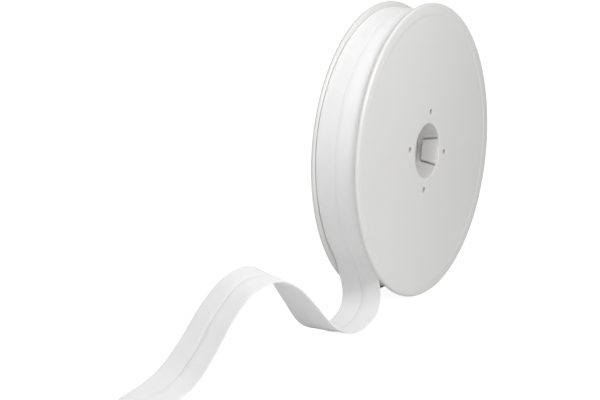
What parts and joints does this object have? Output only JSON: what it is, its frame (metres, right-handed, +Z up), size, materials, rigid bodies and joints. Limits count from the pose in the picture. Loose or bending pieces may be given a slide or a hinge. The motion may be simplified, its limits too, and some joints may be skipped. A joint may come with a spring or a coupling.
{
  "type": "roll of bias tape on a plastic spool",
  "caption": "Round flanged plastic spool standing on its rim, wound with folded white bias tape, with a loose end that drops to the surface and runs forward in one hump.",
  "frame": {"origin": "middle of the flat spot under the front flange, on the surface that the spool stands on", "axes": "+X along the axle, out of the front flange; +Z up; -Y the side where the loose end runs off"},
  "size_m": [0.0421, 0.3219, 0.1498],
  "materials": {
    "spool_plastic": "satin moulded, near white",
    "tape_cloth": "fine plain weave on the bias, pressed folds, white"
  },
  "bodies": {
    "root": {"spool_front": "spool_plastic", "spool_back": "spool_plastic", "tape_roll": "tape_cloth", "tape_end": "tape_cloth"}
  },
  "joints": []
}
